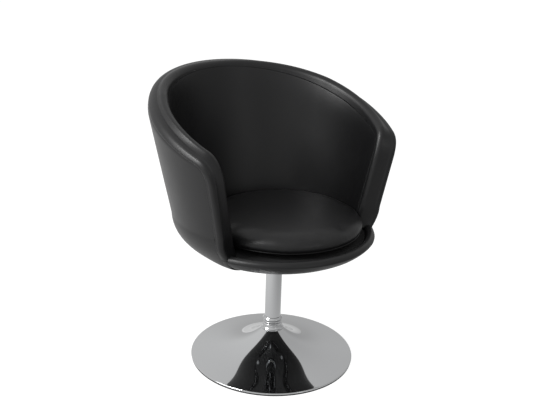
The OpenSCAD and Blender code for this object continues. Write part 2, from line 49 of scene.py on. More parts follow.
# Camera: eye in metres, angles in degrees, on a sensor 36 mm wide
EYE = (-1.1440, -1.6460, 1.1474)
HEADING = 34.812
PITCH = -19.559
ROLL = 1.973
LENS = 52.396
SENSOR = 36.0

# Foot and column, in mm
FOOT_R = 225
ROLL_R = 2.5             # rolled edge of the foot
NECK_R = 30
NECK_H = 81
SHEET_T = 1.5
MAT_T = 3
TOUCH = 0.1              # gap between faces that touch
FALL_SHARE = 0.15        # slope of the foot's outer part
SWEEP = 3.5              # how suddenly the foot rises to its neck
COLUMN_R = 22
COLUMN_WALL = 2
COLLAR_H = 37
COLLAR_TOP_R = 27

# Tub, in mm
TUB_AHEAD = 5            # the tub's middle lies this far before the column
UNDER_H = 312
BOWL_H = 120
BOWL_R = 277.5
FLAT_R = 100             # flat of the underside
LEAN_SHARE = 0.21        # outward lean of the wall
BACK_H = 774
ARM_H = 624
RIM_BULGE = 4
ARM_FRONT = 137
FRONT_RAKE = 15          # the arms' fronts fall back by this on their way down
CORNER_REACH = 36
CORNER_DROP = 52
WALL_T = 44
EDGE_R = 15
INNER_EDGE_R = 13
SKIN_T = 1.2             # artificial leather
SEAM_GAP = 0.1
OPENING_R = 96           # the covers end here under the seat
DECK_Z = 373
LIP_R = 12.5
LIP_OVER = 5.5           # how far the lip stands before the wall
LIP_PUFF = 3
CUSHION_ROOM = 6.6
CUSHION_Z = 377
CUSHION_T = 54
CROWN_H = 12
CUSHION_AHEAD = 10

# How the stuffing rounds the rim off over the arms, in mm
ARM_R = 22               # radius of the outer edge along the arms
FULL_R = 31              # and where the rim is fullest
FULL_LIFT = 3            # height of the stuffed rim over its edge line there
FRONT_LIFT = 4           # how far it stands before the arms' fronts
FULL_TILT = 11           # how much higher the rim's inner edge stands
FULL_T = 12              # how much thicker the wall is at the rim
FULL_RUN = 85            # the thicker wall fades over this run
CORNER_PUFF = 1.2        # the outer corner is fuller than an arc
FRONT_PUFF = 3.0         # and fuller still down the arms' fronts
GATHER = 9               # bulge of the gathered cover under the arms' fronts
GATHER_Z = 345           # height of its middle
GATHER_H = 22            # and its reach up and down
GATHER_TURN = 13         # and round the tub, in degrees
ARM_TURN = 60            # the arms begin at this angle from the middle of the back

BOWL_TOP = UNDER_H + BOWL_H
BOWL_RUN = BOWL_R - FLAT_R
BOWL_MEAN = (BOWL_RUN + BOWL_H) / 2
BOWL_FLOOR = -math.pi / 2 * BOWL_MEAN
SEAM_Z = DECK_Z + 0.6 + SKIN_T
LIP_LOW = UNDER_H + BOWL_H / 5


# Nodes and materials

def linear(code):
    """An sRGB hex colour as linear RGBA."""
    parts = [int(code[i:i + 2], 16) / 255 for i in (1, 3, 5)]
    return [p / 12.92 if p <= 0.04045 else ((p + 0.055) / 1.055) ** 2.4 for p in parts] + [1.0]


def add(tree, kind, links=None, **settings):
    """Adds a node. Settings are its properties, or its inputs where it has no such property."""
    node = tree.nodes.new(kind)
    for name, value in settings.items():
        if hasattr(node, name):
            setattr(node, name, value)
        else:
            node.inputs[name.replace("_", " ")].default_value = value
    for socket, source in (links or {}).items():
        tree.links.new(source, node.inputs[socket])
    return node


def new_material(name):
    """An empty node material and its tree."""
    material = bpy.data.materials.new(name)
    material.use_nodes = True
    material.node_tree.nodes.clear()
    return material, material.node_tree


def finished(material, tree, shader):
    """The material with its shader at the output."""
    add(tree, "ShaderNodeOutputMaterial", {"Surface": shader.outputs[0]})
    return material


def pattern_place(tree):
    """Object coordinates in metres, the same on every piece."""
    return add(tree, "ShaderNodeTexCoord").outputs["Object"]


def artificial_leather(name, colour, pore_mm=1.1, grain_mm=2.53, cloud_mm=45, rough=0.40):
    # PVC-coated cloth with a pressed grain: dark, with a soft broad gloss and fine pores.
    # The pores are drawn a little coarse, so that they show
    material, tree = new_material(name)
    place = pattern_place(tree)
    pores = add(tree, "ShaderNodeTexVoronoi", {"Vector": place}, feature="F1", Scale=1 / (pore_mm * MM))
    creases = add(tree, "ShaderNodeTexVoronoi", {"Vector": place}, feature="DISTANCE_TO_EDGE",
                  Scale=1 / (grain_mm * MM))
    cloudy = add(tree, "ShaderNodeTexNoise", {"Vector": place}, Scale=1 / (cloud_mm * MM), Detail=3.0)
    edge = add(tree, "ShaderNodeMapRange", {"Value": creases.outputs["Distance"]}, From_Max=0.12)
    relief = add(tree, "ShaderNodeMath", {0: pores.outputs["Distance"], 1: edge.outputs["Result"]},
                 operation="MULTIPLY")
    bump = add(tree, "ShaderNodeBump", {"Height": relief.outputs[0]}, Strength=0.10, Distance=0.12 * MM)
    tone = add(tree, "ShaderNodeMapRange", {"Value": cloudy.outputs["Fac"]}, To_Min=rough - 0.035,
               To_Max=rough + 0.045)
    dark = linear(colour)
    tint = add(tree, "ShaderNodeMix", {"Factor": edge.outputs["Result"]}, data_type="RGBA")
    tint.inputs["A"].default_value = [0.75 * c for c in dark[:3]] + [1.0]
    tint.inputs["B"].default_value = dark
    skin = add(tree, "ShaderNodeBsdfPrincipled",
               {"Base Color": tint.outputs["Result"], "Roughness": tone.outputs["Result"],
                "Normal": bump.outputs["Normal"]}, IOR=1.42)
    return finished(material, tree, skin)


def chromed_steel(name, colour, rough, haze_mm=60):
    # Bright chrome over spun or drawn steel: a clear mirror with the faintest polishing haze
    material, tree = new_material(name)
    place = pattern_place(tree)
    haze = add(tree, "ShaderNodeTexNoise", {"Vector": place}, Scale=1 / (haze_mm * MM), Detail=4.0)
    polish = add(tree, "ShaderNodeMapRange", {"Value": haze.outputs["Fac"]}, To_Min=rough * 0.7,
                 To_Max=rough * 1.5)
    chrome = add(tree, "ShaderNodeBsdfPrincipled", {"Roughness": polish.outputs["Result"]}, Metallic=1.0)
    chrome.inputs["Base Color"].default_value = linear(colour)
    return finished(material, tree, chrome)


def machined_metal(name, colour, rough, mark_mm=0.5):
    # Turned or rolled steel: fine marks and a dull gloss
    material, tree = new_material(name)
    place = pattern_place(tree)
    marks = add(tree, "ShaderNodeTexNoise", {"Vector": place}, Scale=1 / (mark_mm * MM), Detail=3.0)
    bump = add(tree, "ShaderNodeBump", {"Height": marks.outputs["Fac"]}, Strength=0.2,
               Distance=0.05 * MM)
    tone = add(tree, "ShaderNodeMapRange", {"Value": marks.outputs["Fac"]}, To_Min=rough - 0.08,
               To_Max=rough + 0.08)
    metal = add(tree, "ShaderNodeBsdfPrincipled",
                {"Roughness": tone.outputs["Result"], "Normal": bump.outputs["Normal"]}, Metallic=1.0)
    metal.inputs["Base Color"].default_value = linear(colour)
    return finished(material, tree, metal)


def plain_finish(name, low, high, rough, speck_mm, depth_mm):
    # Paint, rubber, moulded plastic or felt: two tones of a speckle with its relief
    material, tree = new_material(name)
    place = pattern_place(tree)
    speck = add(tree, "ShaderNodeTexNoise", {"Vector": place}, Scale=1 / (speck_mm * MM), Detail=4.0)
    bump = add(tree, "ShaderNodeBump", {"Height": speck.outputs["Fac"]}, Strength=0.5,
               Distance=depth_mm * MM)
    tint = add(tree, "ShaderNodeMix", {"Factor": speck.outputs["Fac"]}, data_type="RGBA")
    tint.inputs["A"].default_value = linear(low)
    tint.inputs["B"].default_value = linear(high)
    body = add(tree, "ShaderNodeBsdfPrincipled",
               {"Base Color": tint.outputs["Result"], "Normal": bump.outputs["Normal"]},
               Roughness=rough, IOR=1.5)
    return finished(material, tree, body)


def plywood(name, grain_mm=(80, 5), ply_mm=1.5):
    # Birch plywood: pale grain along X, with thin plies in its edge
    material, tree = new_material(name)
    place = pattern_place(tree)
    stretch = add(tree, "ShaderNodeMapping", {"Vector": place})
    stretch.inputs["Scale"].default_value = [1 / (size * MM) for size in (*grain_mm, ply_mm)]
    grain = add(tree, "ShaderNodeTexNoise", {"Vector": stretch.outputs[0]}, Scale=1.0, Detail=5.0)
    tint = add(tree, "ShaderNodeMix", {"Factor": grain.outputs["Fac"]}, data_type="RGBA")
    tint.inputs["A"].default_value = linear("#a97f4c")
    tint.inputs["B"].default_value = linear("#d9b785")
    bump = add(tree, "ShaderNodeBump", {"Height": grain.outputs["Fac"]}, Strength=0.3, Distance=0.1 * MM)
    wood = add(tree, "ShaderNodeBsdfPrincipled",
               {"Base Color": tint.outputs["Result"], "Normal": bump.outputs["Normal"]}, Roughness=0.6)
    return finished(material, tree, wood)


def woven_cloth(name, low, high, thread_mm):
    # Plain weave: two crossed sets of threads, matt
    material, tree = new_material(name)
    place = pattern_place(tree)
    waves_per_m = 1 / (2 * thread_mm * MM) / math.pi
    warp = add(tree, "ShaderNodeTexWave", {"Vector": place}, bands_direction="X", Scale=waves_per_m)
    weft = add(tree, "ShaderNodeTexWave", {"Vector": place}, bands_direction="Y", Scale=waves_per_m)
    crossing = add(tree, "ShaderNodeMath", {0: warp.outputs["Fac"], 1: weft.outputs["Fac"]},
                   operation="MULTIPLY")
    bump = add(tree, "ShaderNodeBump", {"Height": crossing.outputs[0]}, Strength=0.6, Distance=0.2 * MM)
    tint = add(tree, "ShaderNodeMix", {"Factor": crossing.outputs[0]}, data_type="RGBA")
    tint.inputs["A"].default_value = linear(low)
    tint.inputs["B"].default_value = linear(high)
    cloth = add(tree, "ShaderNodeBsdfPrincipled",
                {"Base Color": tint.outputs["Result"], "Normal": bump.outputs["Normal"]}, Roughness=0.9)
    return finished(material, tree, cloth)


LEATHER = artificial_leather("black_artificial_leather", "#101011")
CHROME = chromed_steel("chromed_steel", "#c2c3c4", 0.03)
THREAD = plain_finish("polyester_thread", "#242425", "#323234", 0.45, 0.4, 0.03)
RUBBER = plain_finish("moulded_rubber", "#101011", "#1a1a1b", 0.75, 1.5, 0.08)
CAST = machined_metal("cast_iron_weight", "#4a4d50", 0.6, 1.2)
TURNED = machined_metal("turned_steel", "#9a9da0", 0.3, 0.4)
ZINC = machined_metal("zinc_plated_steel", "#aeb0b2", 0.35, 0.6)
NYLON = plain_finish("cast_nylon", "#d9d5c6", "#e6e2d4", 0.45, 3.0, 0.05)
ACETAL = plain_finish("acetal_plastic", "#252526", "#2d2d2e", 0.4, 3.0, 0.05)
PAINT = plain_finish("black_powder_paint", "#151516", "#202122", 0.45, 1.0, 0.06)
PLYWOOD = plywood("birch_plywood")
FELT = plain_finish("nonwoven_felt", "#0f0f10", "#1c1c1d", 0.95, 0.8, 0.2)
CLOTH = woven_cloth("black_deck_cloth", "#080809", "#161617", 0.5)
HOOKS = plain_finish("nylon_hooks", "#0e0e0e", "#1f1f20", 0.8, 0.7, 0.3)

CARRIED = {
    "floor_mat": RUBBER, "weight_plate": CAST, "column_plug": TURNED, "clamp_bolt": ZINC,
    "clamp_washer": ZINC, "spring_washer": ZINC, "lower_bush": NYLON, "upper_bush": NYLON,
    "thrust_washer": ACETAL, "spindle": TURNED, "retaining_ring": TURNED, "seat_plate": PAINT,
    "plate_bolts": ZINC, "plate_washers": ZINC, "tee_nuts": ZINC, "packing_disc": PLYWOOD,
    "seat_board": PLYWOOD, "shell": PLYWOOD, "hook_pads": HOOKS, "loop_pads": HOOKS,
    "dust_cover": FELT, "cover_staples": ZINC,
}
for node, material in CARRIED.items():
    for material_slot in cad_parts[node].material_slots:
        material_slot.material = material


# Meshes

def mesh_piece(name, points, faces, material):
    """A smooth mesh object from points in mm, with its faces turned outwards."""
    points = np.asarray(points, float)
    fans = np.array([[f[0], f[j], f[j + 1]] for f in faces for j in range(1, len(f) - 1)])
    a, b, c = (points[fans[:, k]] for k in range(3))
    if np.einsum("ij,ij->i", a, np.cross(b, c)).sum() < 0:
        faces = [face[::-1] for face in faces]
    mesh = bpy.data.meshes.new(name)
    mesh.from_pydata((points * MM).tolist(), [], faces)
    mesh.polygons.foreach_set("use_smooth", [True] * len(mesh.polygons))
    mesh.materials.append(material)
    mesh.update()
    piece = bpy.data.objects.new(name, mesh)
    bpy.context.scene.collection.objects.link(piece)
    return piece


def grid_faces(rows, columns, start=0, flip=False):
    """Quads over a grid of points stored row by row."""
    i, j = np.meshgrid(np.arange(rows - 1), np.arange(columns - 1), indexing="ij")
    a = (start + i * columns + j).ravel()
    faces = np.stack([a, a + 1, a + columns + 1, a + columns], 1)
    return (faces[:, ::-1] if flip else faces).tolist()


def skin_piece(name, outer, inner, material):
    """A closed skin between two grids of points, each (rows, columns, 3)."""
    rows, columns = outer.shape[:2]
    count = rows * columns
    points = np.concatenate([outer.reshape(-1, 3), inner.reshape(-1, 3)])
    faces = grid_faces(rows, columns) + grid_faces(rows, columns, count, True)
    border = (list(range(columns))
              + [i * columns + columns - 1 for i in range(1, rows)]
              + [(rows - 1) * columns + j for j in range(columns - 2, -1, -1)]
              + [i * columns for i in range(rows - 2, 0, -1)])
    for k, a in enumerate(border):
        b = border[(k + 1) % len(border)]
        faces.append([b, a, a + count, b + count])
    return mesh_piece(name, points, faces, material)


def loft_piece(name, sections, material, closed=False):
    """Skins closed sections (count, around, 3) in a row, with flat ends or joined into a ring."""
    count, around = sections.shape[:2]
    faces = []
    for i in range(count if closed else count - 1):
        n = (i + 1) % count
        for j in range(around):
            k = (j + 1) % around
            faces.append([i * around + j, i * around + k, n * around + k, n * around + j])
    if not closed:
        faces.append(list(range(around))[::-1])
        faces.append([(count - 1) * around + j for j in range(around)])
    return mesh_piece(name, sections.reshape(-1, 3), faces, material)


def revolve_piece(name, profile, material, segments=192, centre=(0.0, 0.0)):
    """A closed profile of (r, z) points in mm turned about an upright axis."""
    profile = np.asarray(profile, float)
    turns = np.linspace(0, 2 * math.pi, segments, endpoint=False)[:, None]
    r, z = profile[:, 0], profile[:, 1]
    sections = np.stack(np.broadcast_arrays(centre[0] + r * np.sin(turns),
                                            centre[1] - r * np.cos(turns), z), -1)
    piece = loft_piece(name, sections, material, closed=True)
    if profile[:, 0].min() < 1e-6:
        close_poles(piece)
    return piece


def close_poles(piece):
    """Merges the rings that lie on the axis and drops the faces that vanish there."""
    shape = bmesh.new()
    shape.from_mesh(piece.data)
    bmesh.ops.remove_doubles(shape, verts=shape.verts, dist=1e-7)
    shape.to_mesh(piece.data)
    shape.free()


def arc(r, z, radius, start, end, steps):
    """Points of a round from angle start to end, in degrees."""
    return [(r + radius * math.cos(math.radians(t)), z + radius * math.sin(math.radians(t)))
            for t in np.linspace(start, end, steps + 1)]


def smooth_edges(piece, angle=35):
    """Keeps the edges that are sharper than the angle crisp."""
    shape = bmesh.new()
    shape.from_mesh(piece.data)
    for edge in shape.edges:
        if len(edge.link_faces) == 2 and edge.calc_face_angle(0.0) > math.radians(angle):
            edge.smooth = False
    shape.to_mesh(piece.data)
    shape.free()


# Foot, collar and column

def foot_z(r):
    """Height of the foot's upper side: a gentle slope that sweeps up to the neck."""
    run = FOOT_R - ROLL_R - NECK_R
    rim_z = MAT_T + TOUCH + 2 * ROLL_R
    w = np.maximum(0, (FOOT_R - ROLL_R - r) / run)
    slope = FALL_SHARE * run
    return rim_z + slope * w + (NECK_H - rim_z - slope) * w ** SWEEP


def make_foot():
    """The spun foot: its rolled edge, the trumpet and the neck that the column stands in."""
    rim_r = FOOT_R - ROLL_R
    roll_z = MAT_T + TOUCH + ROLL_R
    steps = 110
    radii = rim_r - (rim_r - NECK_R) * np.sin(np.pi / 2 * np.arange(steps + 1) / steps)
    top = [(r, float(foot_z(r))) for r in radii]
    hole_r = COLUMN_R + TOUCH
    under = [(r - SHEET_T * 0.3, float(foot_z(r)) - SHEET_T) for r in radii[::-1]]
    roll = arc(rim_r, roll_z, ROLL_R, -160, 90, 18)
    profile = roll[:-1] + top + [(hole_r, NECK_H), (hole_r, NECK_H - SHEET_T)] + under
    piece = revolve_piece("foot_trumpet_chrome", profile, CHROME, 256)
    smooth_edges(piece)
    return piece


def make_collar():
    """The turned collar: a bead at its foot, a hollow, two grooves and a chamfered top."""
    low = NECK_H + TOUCH
    top = low + COLLAR_H
    hole_r = COLUMN_R + TOUCH
    bead = 2.2
    hollow, hollow_out, hollow_z = 7.6, 3.4, 11.5
    lip, lip_drop = 1.6, 6
    waist_r, waist_z = COLLAR_TOP_R - lip, 14
    groove, groove_out, groove_heights = 3.2, 1.4, (18, 24.5)
    chamfer, chamfer_drop = 1.2, 0.4
    profile = ([(hole_r, low), (NECK_R - bead, low)]
               + arc(NECK_R - bead / 2, low + bead, bead, -75, 80, 10)
               + arc(NECK_R + hollow_out, low + hollow_z, hollow, 205, 172, 6)
               + [(waist_r, low + waist_z)])
    for height in groove_heights:
        profile += arc(waist_r + groove_out, low + height, groove, 240, 120, 8)
    profile += arc(waist_r, top - lip_drop, lip, -60, 40, 6)
    profile += [(hole_r + chamfer, top - chamfer_drop), (hole_r, top)]
    piece = revolve_piece("neck_collar_chrome", profile, CHROME, 192)
    smooth_edges(piece)
    return piece


def make_column():
    """The column, a drawn tube with its ends chamfered."""
    low, high = (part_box("column_tube")[i].z / MM for i in (0, 1))
    chamfer = 0.6
    bore = COLUMN_R - COLUMN_WALL
    profile = [(bore, low), (COLUMN_R - chamfer, low), (COLUMN_R, low + chamfer),
               (COLUMN_R, high - chamfer), (COLUMN_R - chamfer, high), (bore, high)]
    piece = revolve_piece("column_tube_chrome", profile, CHROME, 192)
    smooth_edges(piece)
    return piece


for piece, node in ((make_foot(), "foot_trumpet"), (make_collar(), "neck_collar"),
                    (make_column(), "column_tube")):
    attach(piece, "base")
    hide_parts(node)


# The tub's surface, as the frame's: a cone over an elliptical bowl. Place m counts along it from the
# bowl's top, depth d inwards, turn from the front in degrees.

def wall_r(m, d):
    """Radius at the place m and the depth d."""
    m = np.asarray(m, float)
    bowl = FLAT_R + (BOWL_RUN - d) * np.cos(-m / BOWL_MEAN)
    return np.where(m >= 0, BOWL_R + LEAN_SHARE * m - d, bowl)


def wall_z(m, d):
    """Height at the place m and the depth d."""
    m = np.asarray(m, float)
    return np.where(m >= 0, BOWL_TOP + m, BOWL_TOP - (BOWL_H - d) * np.sin(-m / BOWL_MEAN))


def place_at(z, d=0.0):
    """The place m of a height, at the depth d."""
    z = np.asarray(z, float)
    drop = np.clip((BOWL_TOP - z) / (BOWL_H - d), -1, 1)
    return np.where(z >= BOWL_TOP, z - BOWL_TOP, -np.arcsin(drop) * BOWL_MEAN)


def cone_r(z, d):
    """Radius of the cone at a height, continued below the bowl's top."""
    return BOWL_R + LEAN_SHARE * (z - BOWL_TOP) - d


def rim_r(m, d):
    """Radius across the wall's edge, from the outside at depth 0 to the lining at WALL_T."""
    r = wall_r(m, 0)
    return r - (r - cone_r(wall_z(m, 0), WALL_T)) * d / WALL_T


def at_turn(r, turn, z):
    """Points of the tub in mm, from radius, turn and height."""
    a = np.radians(turn)
    return np.stack(np.broadcast_arrays(r * np.sin(a), -r * np.cos(a) - TUB_AHEAD, z), -1)


BACK_Y = BOWL_R + LEAN_SHARE * (BACK_H - BOWL_TOP)
RIM_RUN = BACK_Y + ARM_FRONT


def rim_z_at(y):
    """Height of the rim, falling from the back to the arms with a slight bulge."""
    w = (y + ARM_FRONT) / RIM_RUN
    return ARM_H + (BACK_H - ARM_H) * w + 4 * RIM_BULGE * w * (1 - w)


def turn_of(y, z):
    """The turn at which the wall's outside passes through y, at the height z."""
    return np.degrees(np.arccos(-y / wall_r(place_at(z), 0)))


CORNER_Y = CORNER_REACH - ARM_FRONT
CORNER_Z = rim_z_at(CORNER_Y) - (rim_z_at(CORNER_Y + 1) - rim_z_at(CORNER_Y)) * CORNER_REACH
CORNER_TURN = float(turn_of(CORNER_Y, rim_z_at(CORNER_Y)))


def front_y(z):
    """Where the arms' fronts lie at a height."""
    return FRONT_RAKE * (CORNER_Z - z) / (CORNER_Z - SEAM_Z) - ARM_FRONT


SEAM_M = float(place_at(SEAM_Z))
SEAM_TURN = math.degrees(math.acos(-front_y(SEAM_Z) / float(wall_r(SEAM_M, 0))))
BAND_TURN = math.degrees(EDGE_R / float(wall_r(SEAM_M, 0)))
LIP_REACH = float(wall_r(place_at(DECK_Z - TOUCH), 0)) + LIP_OVER
CUSHION_R = cone_r(CUSHION_Z + CUSHION_T / 2, WALL_T) - CUSHION_ROOM


def tub_outline(step=5.0):
    """One line round the rim and down both arms' fronts, as (turn, place), every so many mm."""
    turns = np.linspace(180, CORNER_TURN, 240)
    y = -np.cos(np.radians(turns)) * (BACK_Y - (1 - turns / 180) * LEAN_SHARE * (BACK_H - ARM_H))
    z = rim_z_at(y)
    v = np.linspace(0, 1, 40)[1:]
    u = 1 - v
    low_z = CORNER_Z - CORNER_DROP
    corner_y = u * u * CORNER_Y - 2 * u * v * ARM_FRONT + v * v * front_y(low_z)
    corner_z = u * u * rim_z_at(CORNER_Y) + 2 * u * v * CORNER_Z + v * v * low_z
    front_z = np.linspace(low_z, SEAM_Z, 80)[1:]
    y = np.concatenate([y, corner_y, front_y(front_z)])
    z = np.concatenate([z, corner_z, front_z])
    half = np.stack([turn_of(y, z), place_at(z)], 1)
    other = half[:0:-1].copy()
    other[:, 0] = 360 - other[:, 0]
    full = np.concatenate([other, half])[::-1]
    points = at_turn(wall_r(full[:, 1], 0), full[:, 0], wall_z(full[:, 1], 0))
    run = np.concatenate([[0], np.cumsum(np.linalg.norm(np.diff(points, axis=0), axis=1))])
    even = np.linspace(0, run[-1], int(round(run[-1] / step)) + 1)
    return np.stack([np.interp(even, run, full[:, 0]), np.interp(even, run, full[:, 1])], 1)


OUTLINE = tub_outline()


def outline_inward(level_points=8):
    """Direction into the wall at each outline point, as (along the turn, along m), level at the ends."""
    r = wall_r(OUTLINE[:, 1], 0)
    before = np.concatenate([OUTLINE[:1], OUTLINE[:-1]])
    after = np.concatenate([OUTLINE[1:], OUTLINE[-1:]])
    across = np.radians(after[:, 0] - before[:, 0]) * r
    along = after[:, 1] - before[:, 1]
    length = np.hypot(across, along)
    inward = np.stack([along / length, -across / length], 1)
    steps = np.arange(len(r))
    fade = np.clip(np.minimum(steps, steps[::-1]) / level_points, 0, 1)[:, None]
    level = np.where(steps[:, None] < len(r) / 2, (1.0, 0.0), (-1.0, 0.0))
    inward = inward * fade + level * (1 - fade)
    return inward / np.linalg.norm(inward, axis=1)[:, None]


INWARD = outline_inward()


def inset(p):
    """The outline moved inwards by p, a number or one for each of its points."""
    r = wall_r(OUTLINE[:, 1], 0)
    turn = OUTLINE[:, 0] + np.degrees(INWARD[:, 0] * p / r)
    return turn, OUTLINE[:, 1] + INWARD[:, 1] * p


def over_arm(turn):
    """0 at the middle of the back, rising to 1 on the arms."""
    return np.clip(np.abs(turn - 180) / ARM_TURN, 0, 1) ** 1.5


def arm_fullness():
    """How full the rim is at each outline point: 0 at the back and the corners, 1 on the arms."""
    share = np.clip(np.abs(OUTLINE[:, 0] - 180) / (180 - CORNER_TURN), 0, 1)
    on_rim = OUTLINE[:, 1] + BOWL_TOP > ARM_H
    return np.where(on_rim, np.sin(math.pi * share ** 1.6), 0.0)


FULL = arm_fullness()
DOWN = np.clip(-INWARD[:, 1], 0, 1)               # 1 along the rim, 0 down the arms' fronts
ON_ARM = DOWN ** 2 * over_arm(OUTLINE[:, 0])
TILT = FULL_TILT * ON_ARM
LIFT = FULL_LIFT * FULL + FRONT_LIFT * (1 - DOWN)
EDGE_PUFF = CORNER_PUFF + (FRONT_PUFF - CORNER_PUFF) * (1 - DOWN)
OUTER_R = EDGE_R + (ARM_R - EDGE_R) * ON_ARM + (FULL_R - ARM_R) * FULL
OUTER_START = OUTER_R - LIFT          # where the outer edge's round begins, below the edge line


def drawn_in(p):
    """How far the outer round draws the wall's outside in, at the distance p from the edge line."""
    rise = np.clip((OUTER_START - p) / OUTER_R, 0, 1)
    return OUTER_R * (1 - np.sqrt(1 - rise ** 2))


def swell(p, turn=OUTLINE[:, 0]):
    """How much the wall's inside stands proud at the distance p from the edge line."""
    return FULL_T * over_arm(turn) * np.exp(-(np.maximum(p, 0) / FULL_RUN) ** 2)


def from_outline(turn, m):
    """Distance of points of the tub from the edge line, measured over the surface."""
    r = wall_r(OUTLINE[:, 1], 0)
    near = np.full(turn.shape, np.inf)
    for edge_turn, edge_m, edge_r in zip(OUTLINE[::2, 0], OUTLINE[::2, 1], r[::2]):
        near = np.minimum(near, np.hypot(np.radians(turn - edge_turn) * edge_r, m - edge_m))
    return near


def gather(turn, z):
    """How far the cover bulges where it is gathered under the arms' fronts."""
    beyond = 2                          # its middle lies this many degrees behind the seam
    off = np.abs((np.asarray(turn) + 180) % 360 - 180) - SEAM_TURN - beyond
    return GATHER * np.exp(-(off / GATHER_TURN) ** 2 - ((z - GATHER_Z) / GATHER_H) ** 2)


def ripple(turn, z, size=0.3):
    """A gentle unevenness of the stuffed surface, in mm."""
    a = np.radians(turn)
    return size * (np.sin(5 * a + z / 61 + 0.6) + 0.8 * np.sin(9 * a - z / 37 + 2.1)
                   + 0.6 * np.sin(14 * a + z / 83 + 4.0)) / 2.4


def seam_dip(distance, depth=0.12, width=2.0):
    """How far a surface is drawn in near a seam, in mm."""
    return depth * np.exp(-(np.asarray(distance, float) / width) ** 2)


# Outer cover

def make_outer_cover():
    """The back panel, from the outer seam down round the bowl to the underside."""
    taut_run = 40                       # near the seam the cover is too taut to ripple
    seam = EDGE_R + SEAM_GAP
    turn, top = inset(seam)
    share = np.linspace(0, 1, 120)[:, None] ** 1.6
    m = top + (BOWL_FLOOR - top) * share
    spread = np.broadcast_to(turn, m.shape)
    away = (top - m) * np.clip(-INWARD[:, 1], 0.15, 1)
    rippled = (1 - np.exp(-away / taut_run)) * (m > BOWL_FLOOR * 0.8)
    drawn = seam_dip(away) + drawn_in(seam + away) - ripple(spread, wall_z(m, 0)) * rippled
    bulge = gather(spread, wall_z(m, 0))
    grids = []
    for depth in (0.0, SKIN_T):
        wall = at_turn(wall_r(m, depth) - drawn + bulge, spread, wall_z(m, depth))
        floor = at_turn(np.full(m.shape[1], OPENING_R), turn, np.full(m.shape[1], UNDER_H + depth))
        grids.append(np.concatenate([wall, floor[None]]))
    return skin_piece("outer_cover_leather", grids[0], grids[1], LEATHER)


def make_front_panel():
    """The front of the underside, between the two lower seams and under the lip."""
    sunk = 0.4                          # it lies this much deeper than the strips beside it
    tucked = 1                          # its upper edge goes up behind the lip
    edge_gap = 0.05                     # in degrees
    edge_turn = SEAM_TURN + BAND_TURN - edge_gap
    turn = np.linspace(-edge_turn, edge_turn, 140)
    top = float(place_at(LIP_LOW + tucked))
    m = np.linspace(top, BOWL_FLOOR, 40)[:, None]
    grids = []
    for depth in (sunk, SKIN_T + sunk):
        body = at_turn(wall_r(m, depth), turn, wall_z(m, depth))
        under = np.full(len(turn), UNDER_H + depth - sunk)
        floor = at_turn(np.full(len(turn), OPENING_R), turn, under)
        grids.append(np.concatenate([body, floor[None]]))
    return skin_piece("front_panel_leather", grids[0], grids[1], LEATHER)


# Rim band

def band_rows(skin):
    """The band from the outer seam over the rim to the inner seam, as rows of (inset, depth)."""
    hollow = 0.6                        # the top sinks in a little between its two edges
    rows = [(EDGE_R, drawn_in(EDGE_R) + skin)]
    start = np.arcsin(np.clip((OUTER_START - EDGE_R) / OUTER_R, 0, 1))
    for s in np.linspace(0, 1, 19)[1:]:
        t = start + (math.pi / 2 - start) * s
        reach = OUTER_R - skin + EDGE_PUFF * math.sin(math.pi * s)
        rows.append((OUTER_START - reach * np.sin(t), OUTER_R - reach * np.cos(t)))
    wall = WALL_T + swell(0)
    low = -LIFT - TILT + INNER_EDGE_R
    lean = 0.4 * TILT / FULL_TILT
    round_over = []
    for s in np.linspace(0, 1, 13):
        t = (math.pi / 2 + lean) * s - lean
        reach = INNER_EDGE_R - skin
        round_over.append((low - reach * np.cos(t), wall - INNER_EDGE_R + reach * np.sin(t)))
    (p0, d0), (p1, d1) = rows[-1], round_over[0]
    rows += [(p0 + (p1 - p0) * s + hollow * math.sin(math.pi * s), d0 + (d1 - d0) * s)
             for s in np.linspace(0, 1, 11)[1:-1]] + round_over
    for s in np.linspace(0, 1, 6)[1:]:
        p = low + (EDGE_R - low) * s
        rows.append((p, WALL_T + swell(p) - skin))
    return rows


def make_rim_band():
    """The stuffed band round the rim and down the arms' fronts."""
    grids = []
    for skin in (0.0, SKIN_T):
        rows = []
        for p, d in band_rows(skin):
            turn, m = inset(p)
            z = wall_z(m, 0)
            rows.append(at_turn(rim_r(m, d) + gather(turn, z) * (1 - d / WALL_T), turn, z))
        grids.append(np.array(rows))
    return skin_piece("rim_band_leather", grids[0], grids[1], LEATHER)


def make_band_tail(side):
    """The band's strip that runs on down the bowl beside the lip."""
    end_z = UNDER_H + 4
    puff = 0.9
    columns = 9
    turn = side * np.linspace(SEAM_TURN, SEAM_TURN + BAND_TURN, columns)
    m = np.linspace(SEAM_M, float(place_at(end_z)), 48)[:, None]
    bulge = puff * np.sin(np.pi * np.linspace(0, 1, columns)) ** 0.5 + gather(turn, wall_z(m, 0))
    grids = [at_turn(wall_r(m, depth) + bulge, turn, wall_z(m, depth)) for depth in (0.0, SKIN_T)]
    name = "band_tail_left" if side > 0 else "band_tail_right"
    return skin_piece(name, grids[0], grids[1], LEATHER)


# Inner cover

